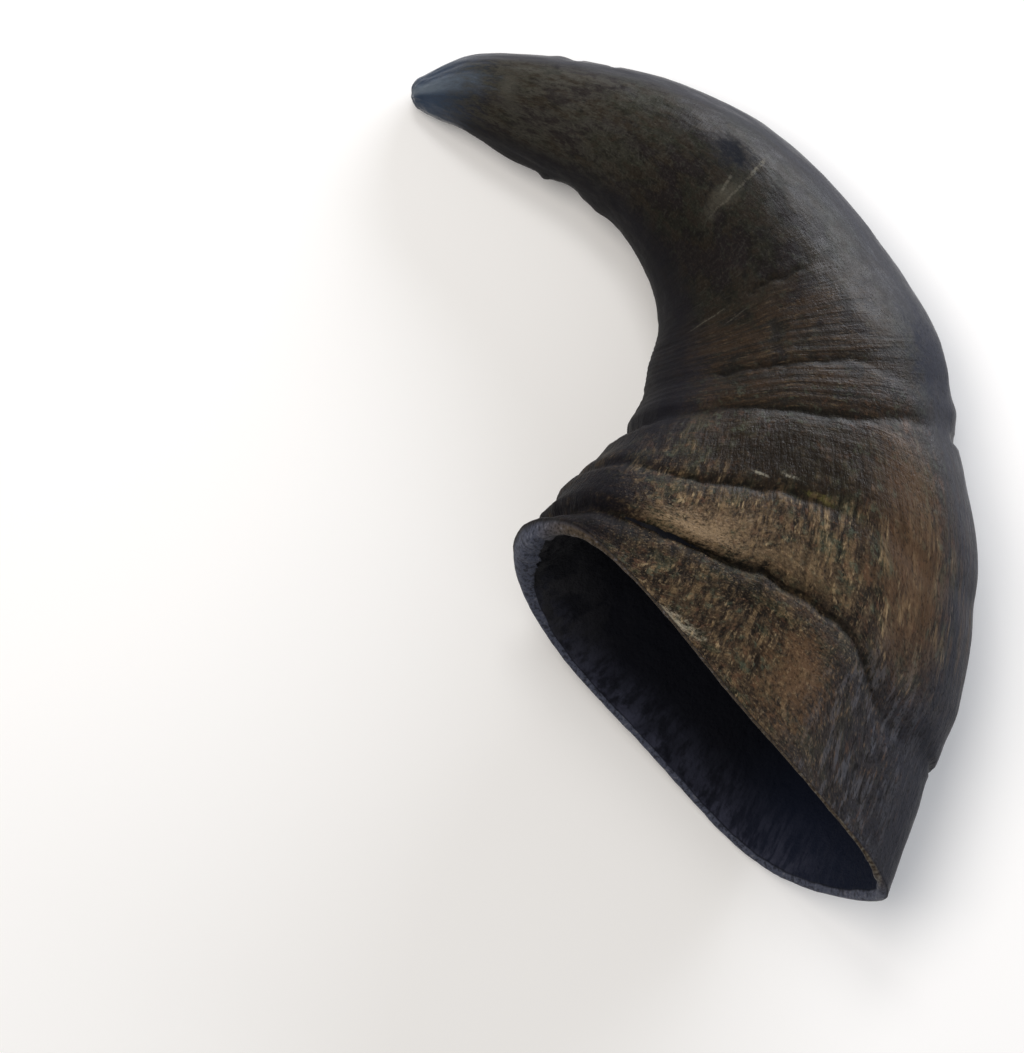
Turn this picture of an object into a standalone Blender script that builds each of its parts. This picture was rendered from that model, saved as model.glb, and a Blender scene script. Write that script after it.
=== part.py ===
"""A water buffalo's horn sheath lying on its side, in Blender 4.5: hollow from the sawn mouth, solid at the tip.

Metres, +Z up. The horn rests on z = 0 and curls in the XY plane, with its length along Y. The origin is on
that plane, under the middle of the outline. The sheath is one loft: at every station a section spans from
the outer, keeled edge of the curl to the inner edge, and leans back where the mouth looks up.
"""

import math
from collections import namedtuple

import bmesh
import bpy
import numpy as np

MM = 0.001

# Driving dimensions, in millimetres and degrees.
SPLITS_NEAR_TIP = 3  # sections from one station to the next in the smooth half
SPLITS_NEAR_MOUTH = 6  # and in the half with growth rings
FIRST_RINGED_STATION = 7
SPLITS_ROUND = 4  # points from one outline point to the next
SIDE_WALL = 3.2  # thickness of the broad walls at the mouth
END_WALL = 6.0  # thickness at the two narrow ends of the mouth
HOLLOW_END = 5.0  # station at which the hollow closes
HOLLOW_STEPS = 22
HOLLOW_FULLNESS = 0.62  # below 1 the hollow stays wide and closes late
KEEL_POWER = 3  # how close to the edge the section starts to sharpen

# Where each edge of the curl runs, from the tip to the mouth, and what the section is like there: half its
# thickness, the height of its middle, how far it leans back, how sharp its outer edge is, and how much of the
# mouth's own outline it has already taken on.
Station = namedtuple("Station", "outer inner half_thick middle lean keel mouth")
STATIONS = [
    Station((-56.6, 77.2), (-56.6, 77.2), 0.0, 3.6, 0, 0.00, 0.00),
    Station((-53.2, 81.7), (-54.0, 73.6), 3.4, 3.6, 0, 0.00, 0.00),
    Station((-40.4, 85.4), (-45.3, 68.8), 6.8, 6.8, 0, 0.00, 0.00),
    Station((-18.1, 83.2), (-26.6, 58.5), 9.4, 9.3, 0, 0.10, 0.00),
    Station((2.0, 77.3), (-15.9, 50.8), 11.6, 11.4, 0, 0.15, 0.00),
    Station((20.5, 66.6), (-9.1, 40.6), 13.6, 13.3, 0, 0.20, 0.03),
    Station((37.2, 47.5), (-6.5, 29.8), 15.8, 15.4, 3, 0.25, 0.08),
    Station((49.4, 27.1), (-8.6, 21.5), 18.4, 18.0, 6, 0.25, 0.20),
    Station((52.9, 7.5), (-10.7, 12.3), 21.0, 20.8, 11, 0.20, 0.40),
    Station((56.5, -19.3), (-18.0, 3.3), 23.6, 24.1, 18, 0.10, 0.65),
    Station((52.2, -47.5), (-26.2, -3.5), 25.4, 26.4, 23, 0.00, 0.85),
    Station((44.6, -63.8), (-30.7, -7.8), 26.0, 27.0, 26, 0.00, 0.95),
    Station((37.5, -84.0), (-34.9, -13.5), 26.0, 27.3, 26, 0.00, 1.00),
]
LAST = len(STATIONS) - 1

# The mouth's outline every 30 degrees, from the keel over the top: x runs from the inner edge, -1, to the keel,
# 1, and y is in half thicknesses. It is low on the keel's upper side and bellied under it.
MOUTH_OUTLINE = [
    (1.00, 0.00),
    (0.88, 0.34),
    (0.50, 0.54),
    (0.02, 0.71),
    (-0.42, 0.92),
    (-0.85, 0.93),
    (-1.01, 0.28),
    (-0.90, -0.42),
    (-0.55, -0.90),
    (-0.02, -1.05),
    (0.50, -1.17),
    (0.82, -0.88),
]

# Growth rings: the station each one crosses on the broad side, how far it runs on toward the mouth at the
# inner edge and at the keel, its depth on the broad side and at the inner edge, and its half width in stations.
Ring = namedtuple("Ring", "station inner_run keel_run depth inner_depth width")
RINGS = [
    Ring(7.35, 0.25, 0.0, 0.25, 0.3, 0.16),
    Ring(8.10, 0.40, 0.0, 0.35, 2.6, 0.20),
    Ring(9.20, 0.55, 0.2, 0.45, 0.9, 0.20),
    Ring(10.22, 1.36, 0.7, 0.80, 3.2, 0.22),
]


def smooth_through(points, splits, closed=False):
    """Rows of a Catmull-Rom curve through the points; splits gives the steps of each span."""
    points = np.array(points, float)
    count = len(points)
    spans = count if closed else count - 1
    rows = []
    for span in range(spans):
        nearby = [span - 1, span, span + 1, span + 2]
        if closed:
            before, start, end, after = (points[index % count] for index in nearby)
        else:
            before, start, end, after = (points[min(max(index, 0), count - 1)] for index in nearby)
        for step in range(splits[span]):
            t = step / splits[span]
            linear = (end - before) * t
            square = (2 * before - 5 * start + 4 * end - after) * t**2
            cube = (3 * start - 3 * end + after - before) * t**3
            rows.append(start + (linear + square + cube) / 2)
    if not closed:
        rows.append(points[-1])
    return np.array(rows)


def ring_relief(place, across):
    """Depth in millimetres of the growth rings at a place along the horn; across is -1 inside, 1 at the keel."""
    inward = (1 - across) / 2
    outward = (1 + across) / 2
    depth = np.zeros_like(across)
    for ring in RINGS:
        path = ring.station + ring.inner_run * inward**3 + ring.keel_run * outward**8
        strength = ring.depth + (ring.inner_depth - ring.depth) * inward**6
        depth += strength * np.exp(-(((place - path) / ring.width) ** 2))
    return depth


class Section:
    """One cross-section's frame: its middle, its half sizes and its two directions."""

    def __init__(self, row):
        outer, inner = row[0:2], row[2:4]
        self.half_thick, self.middle, lean, self.keel, self.mouth = row[4:9]
        span = outer - inner
        self.half_width = np.hypot(*span) / 2
        self.centre = np.array([*(outer + inner) / 2, self.middle])
        along = span / max(2 * self.half_width, 1e-9)
        lean = math.radians(lean)
        self.across = np.array([along[0], along[1], 0.0])
        back = np.array([-along[1], along[0], 0.0])
        self.up = back * math.sin(lean) + np.array([0.0, 0.0, math.cos(lean)])

    def outline(self, mouth_outline):
        """Points of the section in units of its half sizes: an ellipse with a keel, blended into the mouth."""
        angle = np.linspace(0, 2 * math.pi, len(mouth_outline), endpoint=False)
        flat = 1 - self.keel * ((1 + np.cos(angle)) / 2) ** KEEL_POWER
        ellipse = np.stack([np.cos(angle), np.sin(angle) * flat], axis=1)
        return ellipse * (1 - self.mouth) + mouth_outline * self.mouth

    def place(self, shape, half_width, half_thick):
        sideways = shape[:, :1] * half_width * self.across
        upward = shape[:, 1:] * half_thick * self.up
        return self.centre + sideways + upward


def outer_sections(mouth_outline):
    """The skin's rings of points from the tip to the mouth, the tip's as one point."""
    splits = [SPLITS_NEAR_TIP] * FIRST_RINGED_STATION
    splits += [SPLITS_NEAR_MOUTH] * (LAST - FIRST_RINGED_STATION)
    places = [span + step / count for span, count in enumerate(splits) for step in range(count)]
    places.append(LAST)
    rows = smooth_through(station_rows(), splits)
    rings = [Section(rows[0]).centre[None, :]]
    for place, row in zip(places[1:], rows[1:]):
        section = Section(row)
        shape = section.outline(mouth_outline)
        radius = np.hypot(shape[:, 0] * section.half_width, shape[:, 1] * section.half_thick)
        relief = ring_relief(place, np.clip(shape[:, 0], -1, 1))
        shape = shape * (1 - relief / radius)[:, None]
        rings.append(section.place(shape, section.half_width, section.half_thick))
    return rings


def hollow_sections(mouth_outline):
    """The hollow's rings of points from the mouth inward, its blind end as one point."""
    fine = 40
    rows = smooth_through(station_rows(), [fine] * LAST)
    rings = []
    for step in range(HOLLOW_STEPS + 1):
        depth = step / HOLLOW_STEPS
        place = LAST - (LAST - HOLLOW_END) * depth
        section = Section(rows[round(place * fine)])
        if step == HOLLOW_STEPS:
            rings.append(section.centre[None, :])
            break
        fullness = math.cos(depth * math.pi / 2) ** HOLLOW_FULLNESS
        half_width = (section.half_width - END_WALL) * fullness
        half_thick = (section.half_thick - SIDE_WALL) * fullness
        rings.append(section.place(section.outline(mouth_outline), half_width, half_thick))
    return rings


def station_rows():
    return [[*s.outer, *s.inner, s.half_thick, s.middle, s.lean, s.keel, s.mouth] for s in STATIONS]


def skin(mesh, rings):
    """Joins neighbouring rings of vertices with faces; a ring of one vertex closes that end."""
    for first, second in zip(rings, rings[1:]):
        count = max(len(first), len(second))
        for index in range(count):
            corners = []
            for ring, turn in ((first, index), (first, index + 1), (second, index + 1), (second, index)):
                corner = ring[turn % len(ring)]
                if corner not in corners:
                    corners.append(corner)
            mesh.faces.new(corners)


def horn_mesh():
    """The closed sheath: skin from the tip to the mouth, sawn rim, and hollow back to its blind end."""
    mouth_outline = smooth_through(MOUTH_OUTLINE, [SPLITS_ROUND] * len(MOUTH_OUTLINE), closed=True)
    rings = outer_sections(mouth_outline) + hollow_sections(mouth_outline)
    points = np.concatenate(rings)
    low, high = points.min(axis=0), points.max(axis=0)
    origin = np.array([(low[0] + high[0]) / 2, (low[1] + high[1]) / 2, low[2]])
    mesh = bmesh.new()
    corners = [[mesh.verts.new((point - origin) * MM) for point in ring] for ring in rings]
    skin(mesh, corners)
    bmesh.ops.recalc_face_normals(mesh, faces=mesh.faces)
    result = bpy.data.meshes.new("horn")
    mesh.to_mesh(result)
    mesh.free()
    result.shade_smooth()
    result.set_sharp_from_angle(angle=math.radians(45))
    return result


def keratin():
    """Dry horn: dark brown-black with a low, waxy gloss."""
    material = bpy.data.materials.new("dark_keratin")
    material.use_nodes = True
    shader = material.node_tree.nodes["Principled BSDF"]
    shader.inputs["Base Color"].default_value = (0.028, 0.021, 0.016, 1)
    shader.inputs["Roughness"].default_value = 0.5
    shader.inputs["Metallic"].default_value = 0
    return material


def main():
    for old in list(bpy.data.objects):
        bpy.data.objects.remove(old)
    collection = bpy.data.collections.new("buffalo_horn")
    bpy.context.scene.collection.children.link(collection)
    horn = bpy.data.objects.new("horn", horn_mesh())
    horn.data.materials.append(keratin())
    collection.objects.link(horn)


main()
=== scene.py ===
import math
from functools import partial

import bmesh
import bpy
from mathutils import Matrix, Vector


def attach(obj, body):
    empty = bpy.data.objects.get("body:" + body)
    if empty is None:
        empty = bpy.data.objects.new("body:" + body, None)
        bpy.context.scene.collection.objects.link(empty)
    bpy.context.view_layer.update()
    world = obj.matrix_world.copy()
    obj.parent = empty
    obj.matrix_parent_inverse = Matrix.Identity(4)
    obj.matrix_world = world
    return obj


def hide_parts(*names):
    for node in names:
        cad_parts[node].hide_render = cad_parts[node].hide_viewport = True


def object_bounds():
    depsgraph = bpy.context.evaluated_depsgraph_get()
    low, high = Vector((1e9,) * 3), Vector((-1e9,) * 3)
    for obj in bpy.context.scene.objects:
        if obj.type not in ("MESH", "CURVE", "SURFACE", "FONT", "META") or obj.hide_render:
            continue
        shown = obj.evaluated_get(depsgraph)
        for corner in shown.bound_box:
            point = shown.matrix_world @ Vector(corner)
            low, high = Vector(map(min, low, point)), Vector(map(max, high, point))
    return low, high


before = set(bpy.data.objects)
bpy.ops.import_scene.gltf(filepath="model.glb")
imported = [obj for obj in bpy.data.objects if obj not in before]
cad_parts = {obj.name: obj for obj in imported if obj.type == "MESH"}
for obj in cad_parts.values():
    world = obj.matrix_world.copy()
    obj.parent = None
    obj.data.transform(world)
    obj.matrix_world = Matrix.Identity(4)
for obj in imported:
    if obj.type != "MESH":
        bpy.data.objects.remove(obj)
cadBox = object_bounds()
print("frame loaded")


def linearColour(hexColour):
    # sRGB hex to the linear values that the shader takes
    channels = [int(hexColour[place:place + 2], 16) / 255 for place in (1, 3, 5)]
    return (*[c / 12.92 if c <= 0.04045 else ((c + 0.055) / 1.055) ** 2.4 for c in channels], 1)


def liveOutput(node):
    # the first output that the node's settings leave open
    return next(output for output in node.outputs if output.enabled)


def addNode(tree, kind, *values, **settings):
    # the settings first, then each value into the next open input: a node, a socket or a constant
    node = tree.nodes.new(kind)
    for name, value in settings.items():
        setattr(node, name, value)
    openInputs = [socket for socket in node.inputs if socket.enabled]
    for socket, value in zip(openInputs, values):
        if isinstance(value, bpy.types.Node):
            value = liveOutput(value)
        if isinstance(value, bpy.types.NodeSocket):
            tree.links.new(value, socket)
        elif value is not None:
            socket.default_value = value
    return node


# the horn's shape: lengths in millimetres, angles in degrees, places in stations from the tip
hornSizes = {
    "skinRows": 425,          # rows of faces from the tip to the mouth
    "rimRows": 8,
    "hollowRows": 60,
    "pointsRound": 192,       # a multiple of the mouth outline's points
    "splitsAlong": 200,       # fine steps from one station to the next
    "rowCrowding": 1.12,      # over 1 the rows crowd toward the tip
    "innerWall": 6.5,         # wall at the mouth, at the inner end of the curl
    "keelWall": 2.8,
    "topWall": 1.2,
    "bottomWall": 2.1,
    "wallVariation": 0.8,     # share of the wall's thickness from its thin places to its thick ones
    "wallPatches": 9.0,       # how close together those places are
    "rimRounding": 0.35,      # share of the wall that the sawn rim bulges
    "hollowEnd": 5.0,
    "hollowFullness": 0.62,   # below 1 the hollow stays wide and closes late
    "keelPower": 3.0,         # how close to the edge the section starts to sharpen
    "tipBluntness": 0.4,      # 0 leaves the tip a sharp cone
    "ringWander": 0.2,        # how far the growth rings stray from their course, in stations
    "ringJitter": 0.22,
    "waveHeight": 0.9,
    "rippleHeight": 0.15,
    "bandHeight": 0.09,       # fine growth bands before the knee
    "fibreHeight": 0.3,
    "rimHeight": 0.5,
    "hollowHeight": 0.8,
    "weldDistance": 0.0005,   # points closer than this become one
}
stationLength = 16.0          # average run of the middle line from one station to the next
skinRadius = 25.0             # radius that the patterns are laid out on

# each station from tip to mouth: outer edge, inner edge, half thickness, height of the middle, lean, keel,
# and share of the mouth's outline
hornStations = [
    (-56.6, 76.7, -56.6, 76.7, 0.0, 3.6, 0, 0.00, 0.00),
    (-54.2, 81.0, -54.2, 73.8, 3.4, 3.6, 0, 0.00, 0.00),
    (-40.8, 85.3, -45.3, 68.9, 6.8, 6.8, 0, 0.00, 0.00),
    (-18.3, 83.0, -26.8, 58.8, 9.4, 9.3, 0, 0.10, 0.00),
    (1.8, 77.3, -15.9, 50.8, 11.6, 11.4, 0, 0.15, 0.00),
    (20.3, 66.4, -9.1, 40.7, 13.6, 13.3, 0, 0.20, 0.03),
    (37.3, 47.6, -6.4, 29.8, 15.8, 15.4, 3, 0.25, 0.08),
    (49.8, 27.3, -8.4, 21.3, 18.4, 18.0, 6, 0.25, 0.20),
    (52.9, 7.5, -10.7, 12.3, 21.0, 20.8, 11, 0.20, 0.40),
    (56.5, -19.3, -18.0, 3.3, 23.6, 24.1, 18, 0.10, 0.65),
    (52.2, -47.5, -25.6, -4.3, 25.4, 26.4, 23, 0.00, 0.85),
    (45.3, -63.6, -30.1, -8.5, 26.0, 27.0, 26, 0.00, 0.95),
    (37.6, -84.2, -35.4, -13.2, 26.0, 27.3, 26, 0.00, 1.00),
]
# every 30 degrees from the keel over the top, in half widths and half thicknesses
mouthOutline = [
    (1.02, -0.04), (0.88, 0.34), (0.50, 0.54), (0.02, 0.71), (-0.42, 0.92), (-0.85, 0.93),
    (-1.01, 0.28), (-0.90, -0.42), (-0.55, -0.90), (-0.02, -1.05), (0.50, -1.16), (0.80, -0.84),
]
lastStation = len(hornStations) - 1

# growth rings: where each one crosses the broad side, how far it runs on at the inner edge and how suddenly,
# how far at the keel, depth on the broad side and at the inner edge, half width in stations, depth of its
# sharp core, and the middle and half the reach of that core, in shares across the side
growthRings = {
    "crease": (6.13, 0.73, 2.0, -0.1, 0.10, 0.1, 0.10, 0.45, 0.02, 0.34),
    "faintRing": (7.36, 0.37, 1.0, 0.2, 0.22, 0.3, 0.14, 0.35, -0.1, 0.7),
    "kneeRing": (8.12, 0.50, 2.0, -0.1, 0.35, 2.6, 0.18, 0.36, 0.0, 0.95),
    "upperRing": (9.14, 0.75, 1.0, 0.16, 0.4, 0.9, 0.13, 0.5, -0.25, 0.6),
    "deepRing": (10.17, 1.38, 0.85, 0.72, 0.75, 3.6, 0.22, 0.8, -0.1, 0.95),
}
# what every ring shares
ringProfile = {
    "innerFrom": 0.53,        # share across the side past which a ring runs on toward the inner edge
    "keelFrom": 0.68,
    "keelTo": 0.86,
    "deepening": 7.0,         # how close to the inner edge a ring deepens
    "coreSharpness": 14.0,
    "coreFade": 0.45,         # share of the core's reach at which it starts to fade
    "lipSharpness": 2.5,
    "lipHeight": 0.2,
    # tintBase: how dark the painted shade in a ring's line is before its depth counts
    "tintBase": 0.4,          # how dark a ring's line is before its depth counts
    "lastFull": 11.75,        # station past which the rings fade out
}
# how the skin's patterns slant from the knee to the mouth, in stations
skinSlant = {"from": 7.4, "to": 11.0, "power": 1.4, "innerStart": 0.37, "innerRun": 1.38, "keelRun": 0.8}
# nicks and lumps of wear: station, degrees round from the keel, reach along, reach around, and depth, which
# is negative for a lump
wornSpots = {
    "keelNotch": (10.05, 4, 1.0, 8, 1.2),
    "keelDip": (9.76, 4, 4.5, 10, 0.6),
    "keelLump": (7.80, 8, 3.0, 8, -0.7),
    "keelStep": (7.99, 8, 1.1, 6, 1.1),
    "innerDip": (9.25, 188, 5.5, 14, 1.2),
    "notchDip": (9.10, 192, 3.0, 12, 1.0),
    "kneeDip": (8.30, 166, 6.0, 13, 1.0),
    "underTip": (1.55, 186, 8.0, 14, 0.6),
    "tipLedgeA": (2.15, 184, 5.0, 12, -0.45),
    "tipLedgeB": (2.48, 186, 1.5, 10, -0.7),
    "tipHollow": (2.80, 182, 4.5, 12, 1.0),
    "tipLedgeC": (3.33, 178, 4.5, 12, -0.5),
    "crownLump": (2.66, 4, 1.8, 8, -0.3),
    "crownStepA": (2.80, 3, 1.1, 6, 0.5),
    "crownStepB": (3.15, 3, 1.2, 6, 0.35),
}
# noise that shapes the relief: reach in millimetres around, around and along, detail, roughness
reliefNoise = {
    "wander": (11.11, 11.11, 50, 2.0, 0.5),
    "jitter": (2, 2, 10, 3.0, 0.6),
    "wave": (13, 13, 11, 2.0, 0.5),
    "ripple": (22, 22, 1.9, 3.0, 0.55),
    "fibre": (3.2, 3.2, 20, 2.0, 0.5),
    "rim": (2.2, 2.2, 2.2, 3.0, 0.6),
    "hollow": (7, 7, 7, 3.0, 0.55),
}
# where along the horn each of these stands up: from and to which station, and the strength at both
reliefZones = {
    "wave": [],
    "ripple": [(1.5, 6.2, 0.12, 1.0), (8.0, 9.4, 1.0, 0.45)],
    "fibre": [(7.8, 9.6, 0.1, 1.0)],
}
# the fine bands: how the skin's map is scaled for them, how they bend, and where they stand up, off the keel
bandScale = (0.012, 0.012, 0.16)
bandBend = {"distortion": 3.0, "detail": 3.0, "detailScale": 2.0, "detailRoughness": 0.6}
bandZones = {"place": [(5.9, 6.8, 0.0, 1.0), (7.6, 8.9, 1.0, 0.2)], "outward": [(0.55, 0.85, 1.0, 0.0)]}


def onSkin(station, degrees):
    # a point of the skin map, from its station and its degrees round from the keel
    turn = math.radians(degrees)
    return skinRadius * math.cos(turn), skinRadius * math.sin(turn), stationLength * station


def guideMesh():
    # both edges of the curl and the mouth's outline, with each station's section sizes as attributes
    outer = [(station[0], station[1], station[5]) for station in hornStations]
    inner = [(station[2], station[3], station[5]) for station in hornStations]
    outline = [(x, y, 0) for x, y in mouthOutline]
    mesh = bpy.data.meshes.new("hornGuide")
    mesh.from_pydata(outer + inner + outline, [], [])
    values = {"guide": [0] * len(outer) + [1] * len(inner) + [2] * len(outline)}
    for name, column in {"halfThick": 4, "lean": 6, "keel": 7, "mouth": 8}.items():
        values[name] = [station[column] for station in hornStations] * 2 + [0] * len(outline)
    for name, numbers in values.items():
        mesh.attributes.new(name, "FLOAT", "POINT").data.foreach_set("value", numbers)
    return mesh


def ringGroup():
    # relief of one growth ring: a broad groove with a sharp core, and a low lip on its tipward side; and how
    # much painted shade its core gets
    tree = bpy.data.node_groups.new("growthRing", "GeometryNodeTree")
    names = ("place", "inward", "outward", "station", "innerRun", "innerPower", "keelRun", "depth",
             "innerDepth", "width", "core", "coreMiddle", "coreReach")
    for name in names:
        tree.interface.new_socket(name, in_out="INPUT", socket_type="NodeSocketFloat")
    for name in ("relief", "groove"):
        tree.interface.new_socket(name, in_out="OUTPUT", socket_type="NodeSocketFloat")
    put = partial(addNode, tree)
    given = put("NodeGroupInput").outputs

    # its course: it bends toward the mouth at the inner edge and at the keel
    pastMiddle = put("ShaderNodeMapRange", given["inward"], ringProfile["innerFrom"], 1.0, 0.0, 1.0)
    innerShape = put("ShaderNodeMath", pastMiddle, given["innerPower"], operation="POWER")
    keelShape = put("ShaderNodeMapRange", given["outward"], ringProfile["keelFrom"], ringProfile["keelTo"],
                    0.0, 1.0, interpolation_type="SMOOTHSTEP")
    innerPath = put("ShaderNodeMath", innerShape, given["innerRun"], given["station"],
                    operation="MULTIPLY_ADD")
    path = put("ShaderNodeMath", keelShape, given["keelRun"], innerPath, operation="MULTIPLY_ADD")
    away = put("ShaderNodeMath", given["place"], path, operation="SUBTRACT")
    scaled = put("ShaderNodeMath", away, given["width"], operation="DIVIDE")

    # the broad groove, deeper toward the inner edge
    square = put("ShaderNodeMath", scaled, scaled, operation="MULTIPLY")
    negative = put("ShaderNodeMath", square, -1.0, operation="MULTIPLY")
    hollow = put("ShaderNodeMath", negative, operation="EXPONENT")
    inwardPower = put("ShaderNodeMath", given["inward"], ringProfile["deepening"], operation="POWER")
    deeper = put("ShaderNodeMath", given["innerDepth"], given["depth"], operation="SUBTRACT")
    strength = put("ShaderNodeMath", inwardPower, deeper, given["depth"], operation="MULTIPLY_ADD")
    broad = put("ShaderNodeMath", hollow, strength, operation="MULTIPLY")

    # the sharp core, which fades out across the side
    across = put("ShaderNodeMath", given["outward"], given["inward"], operation="SUBTRACT")
    offMiddle = put("ShaderNodeMath", across, given["coreMiddle"], operation="SUBTRACT")
    farOff = put("ShaderNodeMath", offMiddle, operation="ABSOLUTE")
    fadeStart = put("ShaderNodeMath", given["coreReach"], ringProfile["coreFade"], operation="MULTIPLY")
    fade = put("ShaderNodeMapRange", farOff, fadeStart, given["coreReach"], 1.0, 0.0,
               interpolation_type="SMOOTHSTEP")
    coreShape = put("ShaderNodeMath", hollow, ringProfile["coreSharpness"], operation="POWER")
    coreFaded = put("ShaderNodeMath", coreShape, fade, operation="MULTIPLY")
    core = put("ShaderNodeMath", coreFaded, given["core"], operation="MULTIPLY")

    # the low lip beside it
    lipAway = put("ShaderNodeMath", scaled, 1.0, operation="ADD")
    lipSquare = put("ShaderNodeMath", lipAway, lipAway, operation="MULTIPLY")
    lipNegative = put("ShaderNodeMath", lipSquare, -ringProfile["lipSharpness"], operation="MULTIPLY")
    lipShape = put("ShaderNodeMath", lipNegative, operation="EXPONENT")
    lipFaded = put("ShaderNodeMath", lipShape, fade, operation="MULTIPLY")
    lip = put("ShaderNodeMath", lipFaded, given["core"], operation="MULTIPLY")
    lipPart = put("ShaderNodeMath", lip, ringProfile["lipHeight"], operation="MULTIPLY")

    sunk = put("ShaderNodeMath", broad, core, operation="ADD")
    kept = put("ShaderNodeMapRange", given["place"], ringProfile["lastFull"], float(lastStation), 1.0, 0.0,
               interpolation_type="SMOOTHSTEP")
    sunkKept = put("ShaderNodeMath", sunk, kept, operation="MULTIPLY")
    relief = put("ShaderNodeMath", lipPart, sunkKept, operation="SUBTRACT")
    # painted shade: how much darker the ring's core is painted, passed on to the material
    tint = put("ShaderNodeMath", given["core"], ringProfile["tintBase"], operation="ADD")
    groove = put("ShaderNodeMath", coreFaded, tint, operation="MULTIPLY")
    put("NodeGroupOutput", relief, groove)
    return tree


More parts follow.
